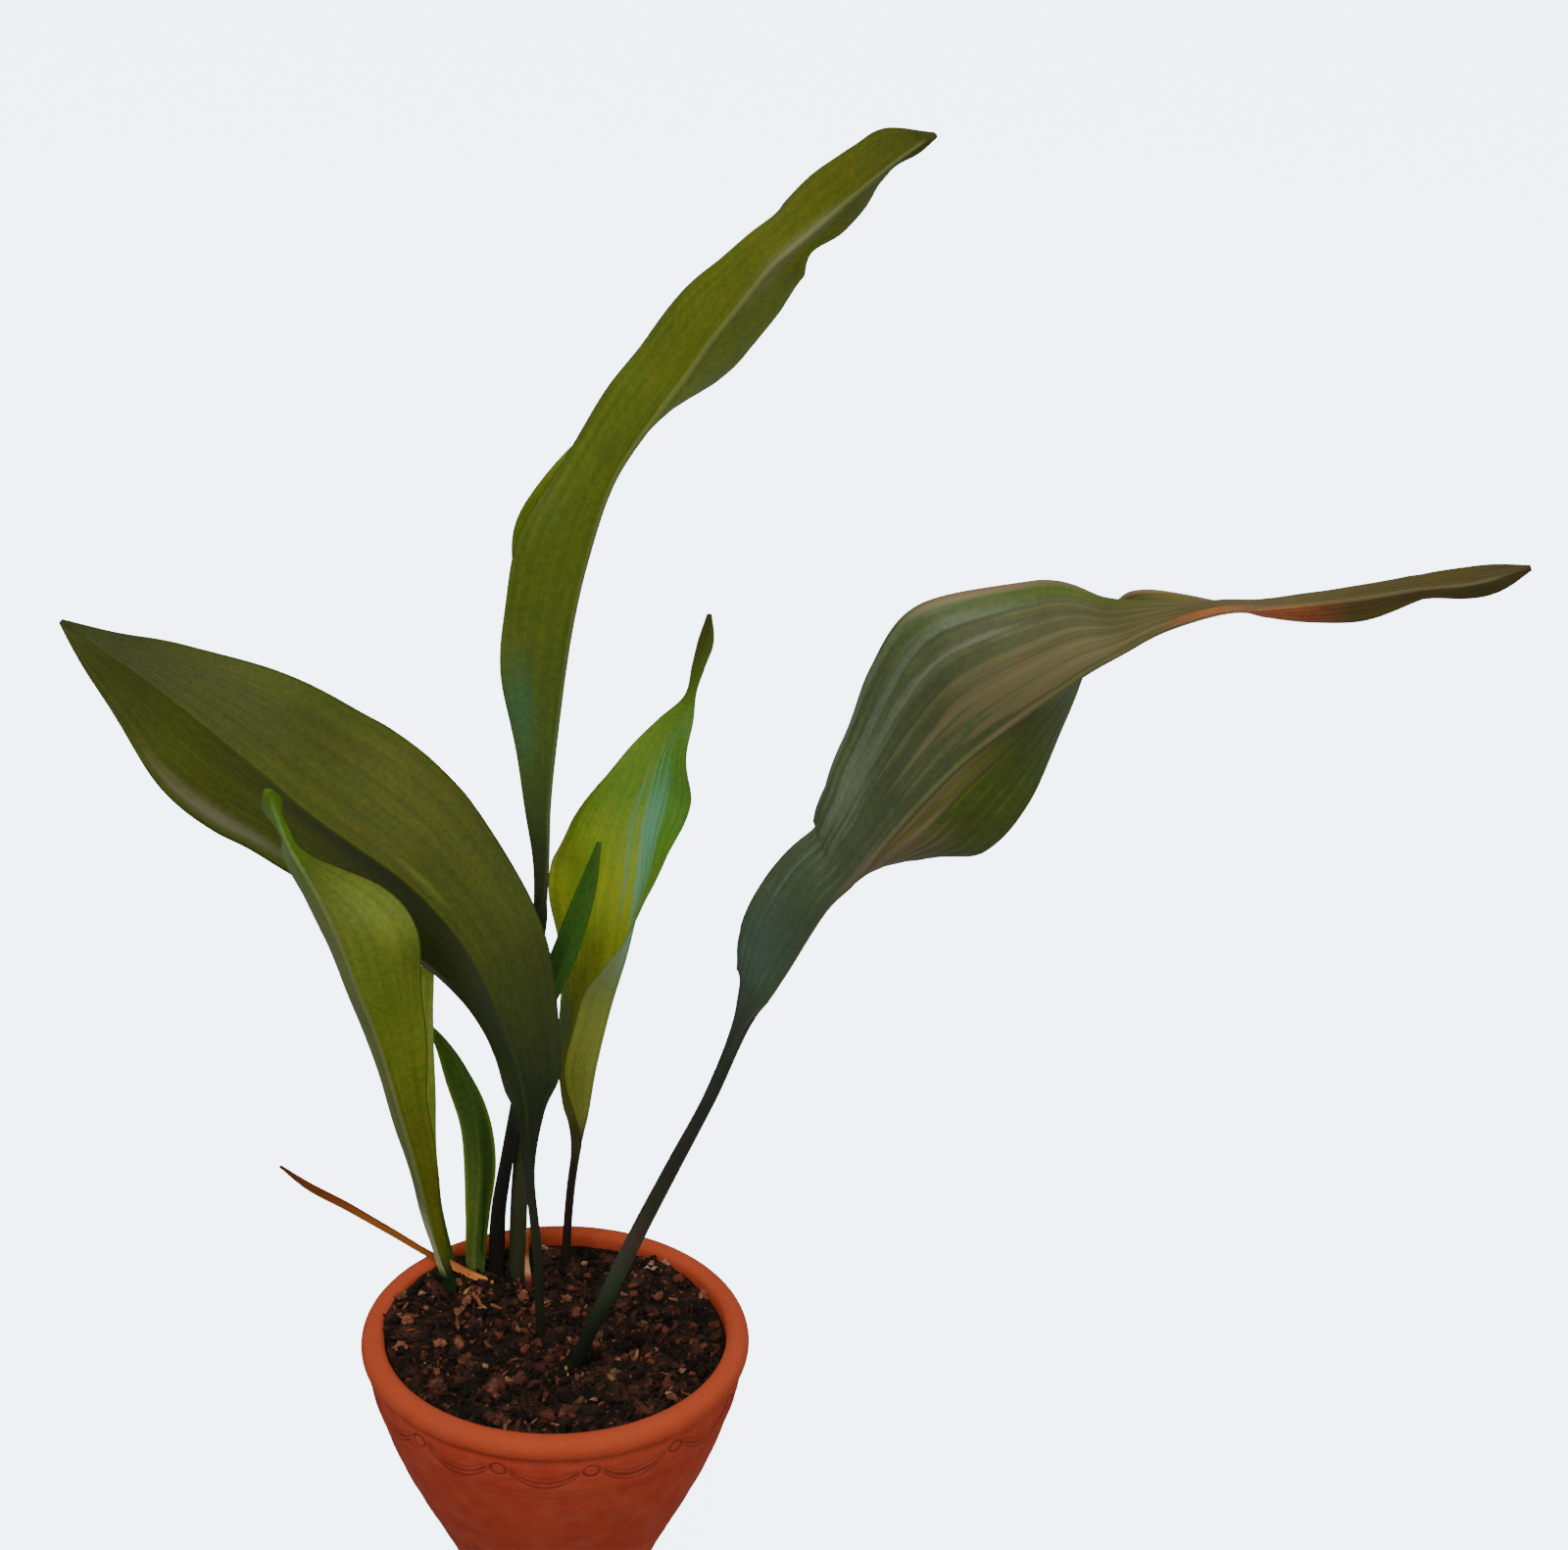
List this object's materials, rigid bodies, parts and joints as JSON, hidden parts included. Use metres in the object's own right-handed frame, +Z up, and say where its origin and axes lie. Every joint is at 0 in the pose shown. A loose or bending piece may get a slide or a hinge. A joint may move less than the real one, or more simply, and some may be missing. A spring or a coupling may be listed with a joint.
{
  "type": "potted plant",
  "caption": "Cast iron plant with long arching leaves on upright stalks, in a terracotta pot with a rolled rim, filled with soil.",
  "frame": {"origin": "centre of the pot's foot, on the surface it stands on", "axes": "+Z up along the pot's axis; -Y towards the side from which the drooping leaf points to the right, +X to that right"},
  "size_m": [0.4669, 0.1935, 0.5747],
  "materials": {
    "terracotta": "unglazed fired clay, matt",
    "potting_soil": "loose dark potting soil with bark",
    "rootstock": "pale fibrous skin",
    "olive_leaf": "satin leaf",
    "dark_olive_leaf": "satin leaf",
    "light_leaf": "satin leaf",
    "young_leaf": "satin leaf",
    "margined_leaf": "satin leaf",
    "bright_leaf": "glossy leaf",
    "deep_green_leaf": "satin leaf",
    "grey_green_leaf": "satin leaf",
    "withered_leaf": "dry, matt",
    "withered_scale": "dry, matt"
  },
  "bodies": {
    "root": {"pot": "terracotta", "soil": "potting_soil", "rhizome": "rootstock", "tall_leaf": "olive_leaf", "broad_leaf": "dark_olive_leaf", "rolled_leaf": "light_leaf", "spear_leaf": "young_leaf", "short_leaf": "margined_leaf", "bright_leaf": "bright_leaf", "slim_leaf": "deep_green_leaf", "drooping_leaf": "grey_green_leaf", "dry_leaf": "withered_leaf", "dry_scale": "withered_scale"}
  },
  "joints": []
}
